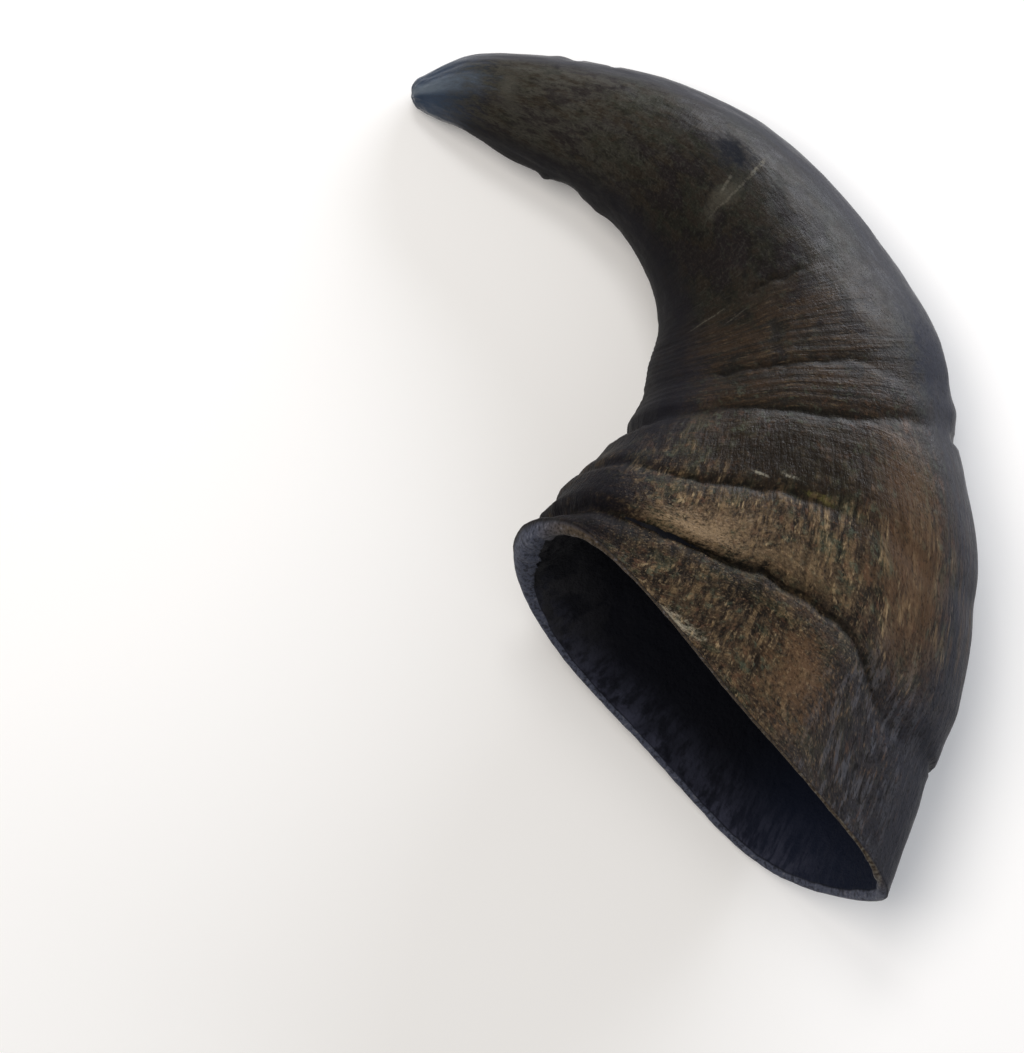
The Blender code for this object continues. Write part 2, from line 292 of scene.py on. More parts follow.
def hornTree(material):
    tree = bpy.data.node_groups.new("hornTree", "GeometryNodeTree")
    tree.interface.new_socket("Guide", in_out="INPUT", socket_type="NodeSocketGeometry")
    for name, value in hornSizes.items():
        kind = "NodeSocketInt" if isinstance(value, int) else "NodeSocketFloat"
        tree.interface.new_socket(name, in_out="INPUT", socket_type=kind)
    tree.interface.new_socket("Horn", in_out="OUTPUT", socket_type="NodeSocketGeometry")
    put = partial(addNode, tree)
    size = put("NodeGroupInput").outputs

    # smooth curves through the guides, as one run of fine points: outer edge, inner edge, outline
    guide = put("GeometryNodeInputNamedAttribute", "guide", data_type="FLOAT")
    index = put("GeometryNodeInputIndex")
    dots = put("GeometryNodeMeshToPoints", size["Guide"])
    splines = put("GeometryNodePointsToCurves", dots, guide, index)
    isOutline = put("ShaderNodeMath", guide, 1.5, operation="GREATER_THAN")
    closed = put("GeometryNodeSetSplineCyclic", splines, isOutline, True)
    curved = put("GeometryNodeCurveSplineType", closed, spline_type="CATMULL_ROM")
    splitsRound = put("ShaderNodeMath", size["pointsRound"], float(len(mouthOutline)), operation="DIVIDE")
    fewer = put("ShaderNodeMath", splitsRound, size["splitsAlong"], operation="SUBTRACT")
    splits = put("ShaderNodeMath", isOutline, fewer, size["splitsAlong"], operation="MULTIPLY_ADD")
    fineCurves = put("GeometryNodeSetSplineResolution", curved, None, splits)
    finePoints = put("GeometryNodeCurveToPoints", fineCurves, mode="EVALUATED")
    edgePoints = put("ShaderNodeMath", size["splitsAlong"], float(lastStation), 1.0,
                     operation="MULTIPLY_ADD")

    # a flat grid, one row for each section: skin from the tip, sawn rim, then the hollow back to its end
    skinAndRim = put("ShaderNodeMath", size["skinRows"], size["rimRows"], operation="ADD")
    faceRows = put("ShaderNodeMath", skinAndRim, size["hollowRows"], operation="ADD")
    gridRows = put("ShaderNodeMath", faceRows, 1.0, operation="ADD")
    gridColumns = put("ShaderNodeMath", size["pointsRound"], 1.0, operation="ADD")
    grid = put("GeometryNodeMeshGrid", 1.0, 1.0, gridRows, gridColumns)
    rowRatio = put("ShaderNodeMath", index, gridColumns, operation="DIVIDE")
    row = put("ShaderNodeMath", rowRatio, operation="FLOOR")
    column = put("ShaderNodeMath", index, gridColumns, operation="MODULO")
    skinShare = put("ShaderNodeMapRange", row, 0.0, size["skinRows"], 0.0, 1.0)
    rimShare = put("ShaderNodeMapRange", row, size["skinRows"], skinAndRim, 0.0, 1.0)
    hollowShare = put("ShaderNodeMapRange", row, skinAndRim, faceRows, 0.0, 1.0)
    crowded = put("ShaderNodeMath", skinShare, size["rowCrowding"], operation="POWER")
    skinPlace = put("ShaderNodeMath", crowded, float(lastStation), operation="MULTIPLY")
    hollowRun = put("ShaderNodeMath", float(lastStation), size["hollowEnd"], operation="SUBTRACT")
    backedOff = put("ShaderNodeMath", hollowShare, hollowRun, operation="MULTIPLY")
    place = put("ShaderNodeMath", skinPlace, backedOff, operation="SUBTRACT")
    quarterTurn = put("ShaderNodeMath", hollowShare, math.pi / 2, operation="MULTIPLY")
    closing = put("ShaderNodeMath", quarterTurn, operation="COSINE")
    closingUp = put("ShaderNodeMath", closing, 0.0, operation="MAXIMUM")
    hollowFill = put("ShaderNodeMath", closingUp, size["hollowFullness"], operation="POWER")
    nearTip = put("ShaderNodeClamp", skinPlace, 0.001, 1.0)
    sharpness = put("ShaderNodeMath", size["tipBluntness"], -1.0, operation="MULTIPLY")
    tipFill = put("ShaderNodeMath", nearTip, sharpness, operation="POWER")
    fullness = put("ShaderNodeMath", hollowFill, tipFill, operation="MULTIPLY")

    # the section of the horn at each row
    scaledPlace = put("ShaderNodeMath", place, size["splitsAlong"], operation="MULTIPLY")
    outerIndex = put("ShaderNodeMath", scaledPlace, operation="ROUND")
    innerIndex = put("ShaderNodeMath", outerIndex, edgePoints, operation="ADD")
    roundIndex = put("ShaderNodeMath", column, size["pointsRound"], operation="MODULO")
    outlineIndex = put("ShaderNodeMath", edgePoints, 2.0, roundIndex, operation="MULTIPLY_ADD")
    position = put("GeometryNodeInputPosition")
    outer, inner, mouthPoint = [
        put("GeometryNodeSampleIndex", finePoints, position, wanted, data_type="FLOAT_VECTOR")
        for wanted in (outerIndex, innerIndex, outlineIndex)
    ]
    sampled = {}
    for name in ("halfThick", "lean", "keel", "mouth"):
        field = put("GeometryNodeInputNamedAttribute", name, data_type="FLOAT")
        sampled[name] = put("GeometryNodeSampleIndex", finePoints, field, outerIndex, data_type="FLOAT")
    span = put("ShaderNodeVectorMath", outer, inner, operation="SUBTRACT")
    across = put("ShaderNodeVectorMath", span, operation="NORMALIZE")
    width = put("ShaderNodeVectorMath", span, operation="LENGTH")
    centre = put("ShaderNodeMix", 0.5, outer, inner, data_type="VECTOR")
    leanTurn = put("ShaderNodeMath", sampled["lean"], -math.pi / 180, operation="MULTIPLY")
    upward = put("ShaderNodeVectorRotate", (0, 0, 1), (0, 0, 0), across, leanTurn,
                 rotation_type="AXIS_ANGLE")
    turn = put("ShaderNodeMath", column, size["pointsRound"], operation="DIVIDE")
    angle = put("ShaderNodeMath", turn, 2 * math.pi, operation="MULTIPLY")
    cosine = put("ShaderNodeMath", angle, operation="COSINE")
    sine = put("ShaderNodeMath", angle, operation="SINE")
    outwardRaw = put("ShaderNodeMath", cosine, 0.5, 0.5, operation="MULTIPLY_ADD")
    keelShape = put("ShaderNodeMath", outwardRaw, size["keelPower"], operation="POWER")
    keelPart = put("ShaderNodeMath", keelShape, sampled["keel"], operation="MULTIPLY")
    flat = put("ShaderNodeMath", 1.0, keelPart, operation="SUBTRACT")
    flattened = put("ShaderNodeMath", sine, flat, operation="MULTIPLY")
    ellipse = put("ShaderNodeCombineXYZ", cosine, flattened, 0.0)
    shape = put("ShaderNodeMix", sampled["mouth"], ellipse, mouthPoint, data_type="VECTOR")
    shapeParts = put("ShaderNodeSeparateXYZ", shape)
    halfWidth = put("ShaderNodeMath", width, 0.5, operation="MULTIPLY")
    outX = put("ShaderNodeMath", shapeParts.outputs["X"], halfWidth, operation="MULTIPLY")
    outY = put("ShaderNodeMath", shapeParts.outputs["Y"], sampled["halfThick"], operation="MULTIPLY")

    # the wall: its thickness, and the way it is measured inward
    squareUp = put("ShaderNodeMath", sampled["halfThick"], 0.01, operation="ADD")
    squareOut = put("ShaderNodeMath", halfWidth, 0.01, operation="ADD")
    facingX = put("ShaderNodeMath", shapeParts.outputs["X"], squareOut, operation="DIVIDE")
    facingY = put("ShaderNodeMath", shapeParts.outputs["Y"], squareUp, operation="DIVIDE")
    facing = put("ShaderNodeCombineXYZ", facingX, facingY, 0.0)
    facingUnit = put("ShaderNodeVectorMath", facing, operation="NORMALIZE")
    towardEnd = put("ShaderNodeMath", shapeParts.outputs["X"], 4.0, operation="POWER")
    sideWall = put("ShaderNodeMapRange", shapeParts.outputs["Y"], -0.2, 0.2, size["bottomWall"],
                   size["topWall"])
    endWall = put("ShaderNodeMapRange", shapeParts.outputs["X"], -0.5, 0.5, size["innerWall"],
                  size["keelWall"])
    wallEnds = put("ShaderNodeMapRange", towardEnd, 0.1, 1.0, sideWall, endWall)
    wallMap = put("ShaderNodeCombineXYZ", cosine, sine, hollowShare)
    wallNoise = put("ShaderNodeTexNoise", wallMap, size["wallPatches"], 4.0, 0.6)
    wallSwing = put("ShaderNodeMath", wallNoise, 0.5, operation="SUBTRACT")
    wallShare = put("ShaderNodeMath", wallSwing, size["wallVariation"], 1.0, operation="MULTIPLY_ADD")
    wallHere = put("ShaderNodeMath", wallEnds, wallShare, operation="MULTIPLY")
    inset = put("ShaderNodeMath", wallHere, rimShare, operation="MULTIPLY")
    insetWay = put("ShaderNodeVectorMath", facingUnit, inset, operation="SCALE")
    fullShape = put("ShaderNodeCombineXYZ", outX, outY, 0.0)
    insetShape = put("ShaderNodeVectorMath", fullShape, insetWay, operation="SUBTRACT")
    filledShape = put("ShaderNodeVectorMath", insetShape, fullness, operation="SCALE")
    reach = put("ShaderNodeSeparateXYZ", filledShape)
    sideways = put("ShaderNodeVectorMath", across, reach.outputs["X"], operation="SCALE")
    heightways = put("ShaderNodeVectorMath", upward, reach.outputs["Y"], operation="SCALE")
    fromCentre = put("ShaderNodeVectorMath", sideways, heightways, operation="ADD")
    flatSurface = put("ShaderNodeVectorMath", centre, fromCentre, operation="ADD")
    halfTurn = put("ShaderNodeMath", rimShare, math.pi, operation="MULTIPLY")
    rimArch = put("ShaderNodeMath", halfTurn, operation="SINE")
    rimRise = put("ShaderNodeMath", rimArch, size["rimRounding"], operation="MULTIPLY")
    rimBulge = put("ShaderNodeMath", rimRise, wallHere, operation="MULTIPLY")
    mouthward = put("ShaderNodeVectorMath", across, upward, operation="CROSS_PRODUCT")
    rimPush = put("ShaderNodeVectorMath", mouthward, rimBulge, operation="SCALE")
    surface = put("ShaderNodeVectorMath", flatSurface, rimPush, operation="ADD")

    # where each point is on the skin: shares inward and outward, and a map that follows the rings
    acrossHere = put("ShaderNodeClamp", shapeParts.outputs["X"], -1.0, 1.0)
    inward = put("ShaderNodeMath", acrossHere, -0.5, 0.5, operation="MULTIPLY_ADD")
    outward = put("ShaderNodeMath", acrossHere, 0.5, 0.5, operation="MULTIPLY_ADD")
    slantShare = put("ShaderNodeMapRange", place, skinSlant["from"], skinSlant["to"], 0.0, 1.0)
    slantCurve = put("ShaderNodeMath", slantShare, skinSlant["power"], operation="POWER")
    innerSlant = put("ShaderNodeMath", slantCurve, skinSlant["innerRun"], skinSlant["innerStart"],
                     operation="MULTIPLY_ADD")
    pastMiddle = put("ShaderNodeMapRange", inward, ringProfile["innerFrom"], 1.0, 0.0, 1.0)
    towardKeel = put("ShaderNodeMapRange", outward, ringProfile["keelFrom"], ringProfile["keelTo"], 0.0,
                     1.0, interpolation_type="SMOOTHSTEP")
    innerLag = put("ShaderNodeMath", pastMiddle, innerSlant, operation="MULTIPLY")
    keelSlant = put("ShaderNodeMath", slantCurve, skinSlant["keelRun"], operation="MULTIPLY")
    keelLag = put("ShaderNodeMath", towardKeel, keelSlant, innerLag, operation="MULTIPLY_ADD")
    ringPlace = put("ShaderNodeMath", place, keelLag, operation="SUBTRACT")
    mapX = put("ShaderNodeMath", cosine, skinRadius, operation="MULTIPLY")
    mapY = put("ShaderNodeMath", sine, skinRadius, operation="MULTIPLY")
    mapZ = put("ShaderNodeMath", ringPlace, stationLength, operation="MULTIPLY")
    skinMap = put("ShaderNodeCombineXYZ", mapX, mapY, mapZ)
    hollowStep = put("ShaderNodeMath", hollowShare, 0.0, operation="GREATER_THAN")
    partOf = put("ShaderNodeMath", rimShare, hollowStep, operation="ADD")
    section = put("ShaderNodeCombineXYZ", acrossHere, sine, partOf)

    shaped = put("GeometryNodeSetPosition", grid, None, surface)
    fields = {
        "skinMap": ("FLOAT_VECTOR", skinMap),
        "section": ("FLOAT_VECTOR", section),
        "place": ("FLOAT", place),
        "depthIn": ("FLOAT", hollowShare),
    }
    for name, (kind, field) in fields.items():
        shaped = put("GeometryNodeStoreNamedAttribute", shaped, None, name, field, data_type=kind)
    merged = put("GeometryNodeMergeByDistance", shaped, None, size["weldDistance"])
    whole = put("GeometryNodeFlipFaces", merged)

    # relief over the skin, all in millimetres outward
    placeAt = put("GeometryNodeInputNamedAttribute", "place", data_type="FLOAT")
    mapAt = put("GeometryNodeInputNamedAttribute", "skinMap", data_type="FLOAT_VECTOR")
    sectionAt = put("GeometryNodeInputNamedAttribute", "section", data_type="FLOAT_VECTOR")
    sectionParts = put("ShaderNodeSeparateXYZ", sectionAt)
    inwardAt = put("ShaderNodeMath", sectionParts.outputs["X"], -0.5, 0.5, operation="MULTIPLY_ADD")
    outwardAt = put("ShaderNodeMath", sectionParts.outputs["X"], 0.5, 0.5, operation="MULTIPLY_ADD")
    noise = {}
    for name, (*reach, detail, roughness) in reliefNoise.items():
        where = position if name in ("rim", "hollow") else mapAt
        scaled = put("ShaderNodeVectorMath", where, [1 / length for length in reach], operation="MULTIPLY")
        raw = put("ShaderNodeTexNoise", scaled, 1.0, detail, roughness, label=name)
        noise[name] = put("ShaderNodeMath", raw, 0.5, operation="SUBTRACT")

    # the growth rings, which stray a little, and the places where the skin is worn
    wandered = put("ShaderNodeMath", noise["wander"], size["ringWander"], placeAt, operation="MULTIPLY_ADD")
    ringAt = put("ShaderNodeMath", noise["jitter"], size["ringJitter"], wandered, operation="MULTIPLY_ADD")
    relief = 0.0
    groove = 0.0
    rings = ringGroup()
    for name, ring in growthRings.items():
        one = put("GeometryNodeGroup", ringAt, inwardAt, outwardAt, *ring, node_tree=rings, label=name)
        relief = put("ShaderNodeMath", one.outputs["relief"], relief, operation="ADD")
        groove = put("ShaderNodeMath", one.outputs["groove"], groove, operation="ADD")
    for name, (station, degrees, reachAlong, reachAround, depth) in wornSpots.items():
        middle = onSkin(station, degrees)
        offset = put("ShaderNodeVectorMath", mapAt, middle, operation="SUBTRACT", label=name)
        reach = (1 / reachAround, 1 / reachAround, 1 / reachAlong)
        scaled = put("ShaderNodeVectorMath", offset, reach, operation="MULTIPLY")
        distance = put("ShaderNodeVectorMath", scaled, operation="LENGTH")
        pit = put("ShaderNodeMapRange", distance, 0.0, 1.0, -depth, 0.0, interpolation_type="SMOOTHSTEP")
        relief = put("ShaderNodeMath", relief, pit, operation="ADD")

    # broad waves, fine crosswise ripples and lengthwise bundles of fibre, each in its zone
    for name, zones in reliefZones.items():
        strength = size[name + "Height"]
        for zone in zones:
            part = put("ShaderNodeMapRange", placeAt, *zone)
            strength = put("ShaderNodeMath", part, strength, operation="MULTIPLY")
        relief = put("ShaderNodeMath", noise[name], strength, relief, operation="MULTIPLY_ADD")

    # fine growth bands
    bandMap = put("ShaderNodeVectorMath", mapAt, bandScale, operation="MULTIPLY")
    band = put("ShaderNodeTexWave", bandMap, 1.0, *bandBend.values(), bands_direction="Z")
    bandSize = size["bandHeight"]
    for field, zones in ((placeAt, bandZones["place"]), (outwardAt, bandZones["outward"])):
        for zone in zones:
            part = put("ShaderNodeMapRange", field, *zone, interpolation_type="SMOOTHSTEP")
            bandSize = put("ShaderNodeMath", part, bandSize, operation="MULTIPLY")
    relief = put("ShaderNodeMath", band.outputs["Fac"], bandSize, relief, operation="MULTIPLY_ADD")

    # all of that on the skin only, then the sawn rim and the hollow
    skinOnly = put("ShaderNodeMapRange", sectionParts.outputs["Z"], 0.0, 0.3, 1.0, 0.0)
    skinRelief = put("ShaderNodeMath", relief, skinOnly, operation="MULTIPLY")
    nearRim = put("ShaderNodeMapRange", placeAt, 11.9, float(lastStation), 0.0, 1.0)
    rimSize = put("ShaderNodeMath", nearRim, size["rimHeight"], operation="MULTIPLY")
    withRim = put("ShaderNodeMath", noise["rim"], rimSize, skinRelief, operation="MULTIPLY_ADD")
    inHollow = put("ShaderNodeMapRange", sectionParts.outputs["Z"], 1.0, 2.0, 0.0, 1.0)
    hollowSize = put("ShaderNodeMath", inHollow, size["hollowHeight"], operation="MULTIPLY")
    total = put("ShaderNodeMath", noise["hollow"], hollowSize, withRim, operation="MULTIPLY_ADD")
    normal = put("GeometryNodeInputNormal")
    push = put("ShaderNodeVectorMath", normal, total, operation="SCALE")
    carved = put("GeometryNodeSetPosition", whole, None, None, push)

    # the painted shade of the rings' cores, on the skin only, kept for the material
    grooveShadeOnSkin = put("ShaderNodeMath", groove, skinOnly, operation="MULTIPLY")
    marked = put("GeometryNodeStoreNamedAttribute", carved, None, "groove", grooveShadeOnSkin, data_type="FLOAT")
    metres = put("GeometryNodeTransform", marked)
    metres.inputs["Scale"].default_value = (0.001, 0.001, 0.001)
    smooth = put("GeometryNodeSetShadeSmooth", metres)
    solid = put("GeometryNodeRealizeInstances", smooth)
    finished = put("GeometryNodeSetMaterial", solid, None, material)
    put("NodeGroupOutput", finished)
    print("horn tree built:", len(tree.nodes), "nodes")
    return tree


# the horn's colours
keratinColours = {
    "black": "#0b0907",
    "dark": "#14110e",
    "brown": "#251e17",
    "olive": "#23231b",
    "plum": "#1f191b",
    "ash": "#403e38",
    "scratch": "#6c685c",
    "greyish": "#37352f",
    "soil": "#32281e",
    "moss": "#343326",
    "tan": "#6d5a41",
    "straw": "#9c8767",
    "rust": "#553c2c",
    "sage": "#434a3d",
    "bandBrown": "#271d14",
    "slate": "#292a31",
    "slateBrown": "#312d2b",
    "slateLight": "#45464c",
    "violetShade": "#121116",
    "tipNavy": "#2f3a4a",
    # painted highlight: a steel-blue band on top of the polished tip, partly a worn band and partly its
    # highlight
    "tipSteelHighlight": "#5b646e",
    "rimGrey": "#464a59",
    "rimBrown": "#4a4035",
    # painted shade and light in the hollow: near-black deep inside, lighter navy and slate near the entrance
    # where light reaches
    "hollowShade": "#0c0d13",
    "entranceLightNavy": "#121828",
    "caveGrey": "#28282b",
    "lowerWallLightSlate": "#343644",
    "dust": "#77777d",
}
# roughness of each place, and how strongly the surface reflects
keratinGloss = {
    "smooth": 0.38,
    "base": 0.56,
    "inner": 0.7,
    "tip": 0.26,
    "dull": 0.85,
    "hollow": 0.75,
    "patchiness": 0.08,
    "refraction": 1.54,
    "reflection": 0.15,
}
# pattern sizes in millimetres, around, around and along; the finest are coarser than real, so that they show
keratinPatterns = {
    "cloud": (9, 9, 9),
    "blotch": (4.5, 4.5, 4.5),
    "mottle": (2.4, 2.4, 2.0),
    "hue": (1.3, 1.3, 1.6),
    "speck": (0.6, 0.6, 0.7),
    "grit": (0.38, 0.38, 0.5),
    "fibre": (0.9, 0.9, 4.2),
    "strand": (0.52, 0.52, 2.4),
    "growth": (14, 14, 0.9),
    "hair": (2.6, 2.6, 0.4),
}
# patterns on the solid itself, in millimetres: saw marks on the rim and crust in the hollow
solidPatterns = {"sawn": 0.8, "crust": 5.0}
patternDetail = {"skin": 3.0, "solid": 4.0, "roughness": 0.62}
tipRaggedness = 0.8           # how far mottling shifts the polished tip's edge, in stations
# steps that several coats share: a source, where the step starts and ends, and the strength at both. The part
# is 0 on the skin, up to 1 across the rim and 2 in the hollow.
ringedPart = ("ring", 5.9, 6.7, 0.0, 1.0)
fibrousPart = ("place", 7.9, 9.2, 0.0, 1.0)
paleFibrePart = ("place", 8.3, 9.6, 0.0, 1.0)
mouthPart = ("place", 9.6, 10.8, 0.0, 1.0)
keelSide = ("across", 0.2, 0.6, 0.0, 1.0)
skinPart = ("part", 0.2, 0.0, 0.0, 1.0)
rimPart = ("part", 0.02, 0.2, 0.0, 1.0)
rimTop = ("up", 0.1, 0.5, 0.0, 1.0)
hollowPart = ("part", 0.9, 1.3, 0.0, 1.0)
# coats of colour from the first to the last, each with the steps that mask it
skinCoats = [
    ("olive", ("cloud", 0.45, 0.57, 0.0, 0.9)),
    ("brown", ("blotch", 0.47, 0.58, 0.0, 0.85)),
    ("plum", ("cloud", 0.5, 0.4, 0.0, 0.6)),
    ("greyish", ("place", 5.0, 2.5, 0.0, 0.7), ("mottle", 0.4, 0.58, 0.2, 1.0)),
    ("ash", ("speck", 0.55, 0.68, 0.0, 0.35)),
    ("black", ("speck", 0.46, 0.34, 0.0, 0.55)),
    ("ash", ("hair", 0.56, 0.68, 0.0, 0.4), ("place", 1.9, 3.2, 0.3, 1.0), ("mottle", 0.4, 0.6, 0.2, 1.0)),
    ("black", ("place", 3.2, 5.0, 0.0, 0.38), ("place", 8.6, 9.6, 1.0, 0.0)),
    ("bandBrown", ringedPart, ("ring", 7.7, 8.6, 1.0, 0.3), ("across", 0.85, 0.3, 0.0, 1.0),
     ("blotch", 0.38, 0.52, 0.1, 0.9)),
    ("dark", ringedPart, ("ring", 7.9, 8.7, 1.0, 0.2), ("across", 0.9, 0.5, 0.2, 1.0),
     ("growth", 0.53, 0.43, 0.0, 0.75)),
    ("tan", ringedPart, ("ring", 7.9, 8.9, 1.0, 0.2), ("across", 0.8, 0.4, 0.0, 1.0),
     ("hair", 0.55, 0.67, 0.0, 0.22), ("speck", 0.4, 0.6, 0.2, 1.0)),
    ("soil", fibrousPart, ("cloud", 0.36, 0.58, 0.75, 1.0)),
    ("moss", fibrousPart, ("blotch", 0.5, 0.6, 0.0, 0.85)),
    ("tan", paleFibrePart, ("fibre", 0.49, 0.62, 0.0, 0.7), ("mottle", 0.38, 0.6, 0.15, 1.0)),
    ("black", fibrousPart, ("fibre", 0.49, 0.38, 0.0, 0.75)),
    ("straw", paleFibrePart, ("strand", 0.56, 0.7, 0.0, 0.6), ("mottle", 0.42, 0.6, 0.1, 1.0)),
    ("rust", ("place", 7.0, 9.2, 0.0, 1.0), ("hue", 0.56, 0.68, 0.0, 0.5)),
    ("sage", ("place", 7.0, 9.2, 0.2, 1.0), ("hue", 0.43, 0.33, 0.0, 0.5)),
    # painted shade: a dark band along the deep ring, on its mouthward wall
    ("black", ("ring", 9.95, 10.14, 0.0, 1.0), ("ring", 10.2, 10.75, 1.0, 0.0),
     ("across", 0.2, -0.1, 0.1, 1.0), ("mottle", 0.42, 0.54, 0.25, 0.85)),
    ("slateBrown", mouthPart, ("across", 0.05, 0.4, 0.0, 0.8), ("blotch", 0.4, 0.6, 1.0, 0.6)),
    ("slate", mouthPart, ("across", 0.25, 0.75, 0.0, 0.9), ("mottle", 0.35, 0.6, 1.0, 0.6)),
    ("slateLight", mouthPart, keelSide, ("fibre", 0.5, 0.64, 0.0, 0.8)),
    ("black", mouthPart, keelSide, ("strand", 0.46, 0.34, 0.0, 0.6)),
    ("rust", mouthPart, keelSide, ("strand", 0.56, 0.7, 0.0, 0.3)),
]
edgeCoats = [
    ("slate", ("across", 0.7, 0.94, 0.0, 0.95), ("fibre", 0.35, 0.65, 1.0, 0.75)),
    # the inner side's violet-grey, darkened past its own tone: partly its colour, partly painted shade on the
    # side turned from the light
    ("violetShade", ("across", -0.55, -0.85, 0.0, 0.92), ("mottle", 0.35, 0.65, 1.0, 0.8)),
]
lastCoats = [
    ("black", ("grit", 0.48, 0.34, 0.0, 0.55), ("place", 2.0, 8.5, 0.4, 1.0), skinPart),
    ("straw", ("grit", 0.56, 0.72, 0.0, 0.3), ("place", 8.8, 10.0, 0.1, 1.0),
     ("across", 0.8, 0.3, 0.1, 1.0), ("across", -0.9, -0.6, 0.1, 1.0)),
    ("tipNavy", ("tipEdge", 2.25, 1.15, 0.0, 1.0)),
    # painted highlight along the top of the polished tip, partly a worn band
    ("tipSteelHighlight", ("tipEdge", 2.3, 1.0, 0.0, 1.0), ("across", 0.6, 0.25, 0.0, 1.0),
     ("across", -0.25, 0.1, 0.0, 0.9)),
    # painted shade: the rings' cores painted darker
    ("black", ("groove", 0.05, 0.6, 0.0, 0.8), ("speck", 0.35, 0.55, 1.0, 0.6)),
    ("rimGrey", rimPart),
    ("rimBrown", rimPart, rimTop),
    ("black", rimPart, ("sawn", 0.5, 0.4, 0.0, 0.6)),
    ("dust", rimPart, ("sawn", 0.56, 0.7, 0.0, 0.5)),
    ("scratch", rimPart, rimTop, ("across", -0.2, 0.8, 0.0, 1.0), ("sawn", 0.48, 0.64, 0.0, 0.6)),
    # painted shade in the hollow, near-black deep inside; then painted light near the entrance on the keel
    # side and on the lower wall, mixed with its fibres and crust
    ("hollowShade", hollowPart),
    ("entranceLightNavy", hollowPart, ("across", 0.2, 0.8, 0.0, 0.9), ("depth", 0.3, 0.02, 0.0, 1.0)),
    ("lowerWallLightSlate", hollowPart, ("up", -0.2, -0.7, 0.0, 1.0), ("depth", 0.12, 0.0, 0.0, 1.0),
     ("fibre", 0.38, 0.6, 0.25, 1.0), ("crust", 0.3, 0.65, 0.5, 1.0)),
    ("caveGrey", hollowPart, ("across", -0.3, -0.85, 0.0, 1.0), ("depth", 0.3, 0.02, 0.0, 1.0),
     ("crust", 0.42, 0.56, 0.2, 1.0)),
]
# soft patches: station, degrees from the keel, reach along, reach around, colour, strength
colourPatches = {
    "dustBand": (9.72, 116, 8, 11, "#604f3c", 0.8),
    "dustCore": (9.80, 120, 5, 7, "#8d785e", 0.5),
    "dustTail": (9.80, 88, 5, 10, "#5c4c38", 0.45),
    "warmPatch": (8.9, 52, 18, 8, "#4c3929", 0.7),
    "warmMouth": (11.15, 76, 11, 5, "#6c5138", 0.42),
    "blueSpot": (4.68, 60, 4.5, 5.5, "#0a0d15", 0.9),
    "scratchPale": (4.97, 88, 2.6, 9, "#3e3b33", 0.6),
    # painted shade: a dark blue patch on the keel side, below the sheen, where the side turns from the light
    "shadedBlueEdge": (7.3, 25, 12, 10, "#171c2a", 0.75),
    # painted shade: dark patches on the bulges of the inner side, which face away from the light
    "shadedBulge": (7.7, 152, 18, 13, "#141318", 0.9),
    "shadedInnerBulge": (9.4, 158, 13, 10, "#1c1a20", 0.85),
    # painted shade: a dark blotch just mouthward of the deep ring's groove
    "ringShadowBlotch": (10.65, 104, 5, 9, "#100d09", 0.6),
    "darkShoulder": (8.72, 100, 10, 22, "#17110b", 0.94),
    "greenFleck": (9.1, 84, 1.0, 2.0, "#6f6a3a", 0.4),
    # pale flecks, partly light fibres and partly painted highlight standing for glints
    "paleFlecksAndGlints": (11.45, 116, 2.5, 5, "#aaa08c", 0.5),
    "paleTip": (2.30, 76, 1.6, 12, "#504e47", 0.28),
}
dullPatches = ("blueSpot", "shadedBlueEdge")
softPatches = ("blueSpot", "shadedBlueEdge", "scratchPale", "shadedBulge", "shadedInnerBulge", "warmPatch",
               "darkShoulder")
# how far mottling and specks break up a patch's edge, in shares of its reach, and where the edge starts
patchEdge = {"blotch": 1.6, "grain": 2.4, "softGrain": 0.8, "start": 0.9}
# thin pale marks across the grain: station and degrees at each end, half width in millimetres, strength
paleMarks = {
    "longScratch": (4.97, 49, 5.06, 108, 0.35, 0.2),
    "brightScratch": (4.97, 47, 5.0, 66, 0.45, 0.42),
    "shortScratch": (4.84, 70, 4.92, 88, 0.4, 0.25),
    "creaseLine": (6.22, 112, 6.55, 143, 0.3, 0.28),
    "creaseLineLow": (6.34, 104, 6.6, 122, 0.25, 0.18),
    "dashA": (9.07, 101, 9.09, 109, 0.4, 0.9),
    "dashB": (8.97, 91, 8.98, 99, 0.4, 0.9),
}
# how far a mark strays in stations, and the shares of its width and length that are full and that fade out
markEdge = {"stray": 0.06, "full": 0.3, "fade": 1 / 3}
# relief too fine for the mesh: height in metres of each pattern, and where it shows
fineRelief = {
    "growth": (0.00011, ("across", 0.95, 0.4, 0.3, 1.0), ("ring", 1.8, 5.8, 0.3, 1.0),
               ("ring", 8.0, 9.4, 1.0, 0.3), skinPart),
    "hair": (0.00005, ("across", 0.95, 0.4, 0.3, 1.0), ("ring", 1.8, 5.8, 0.3, 1.0),
             ("ring", 8.0, 9.4, 1.0, 0.2), skinPart),
    "cloud": (0.0003, ("place", 2.0, 4.0, 0.0, 1.0), ("place", 7.0, 9.0, 1.0, 0.2), skinPart),
    "fibre": (0.00045, ("place", 7.9, 9.3, 0.0, 1.0), ("across", 0.2, 0.7, 1.0, 0.4), skinPart),
    "strand": (0.00025, ("place", 7.9, 9.3, 0.0, 1.0), skinPart),
    "speck": (0.00012, ("place", 4.0, 8.5, 0.2, 1.0), skinPart),
    "grit": (0.00005, ("place", 3.0, 8.0, 0.2, 1.0), skinPart),
    "sawn": (0.0003, rimPart),
    "crust": (0.0012, hollowPart),
}


def maskOf(put, sources, steps):
    # the product of soft steps
    mask = None
    for name, start, end, low, high in steps:
        step = put("ShaderNodeMapRange", sources[name], start, end, low, high,
                   interpolation_type="SMOOTHSTEP")
        mask = put("ShaderNodeMath", mask, step, operation="MULTIPLY") if mask else step
    return mask


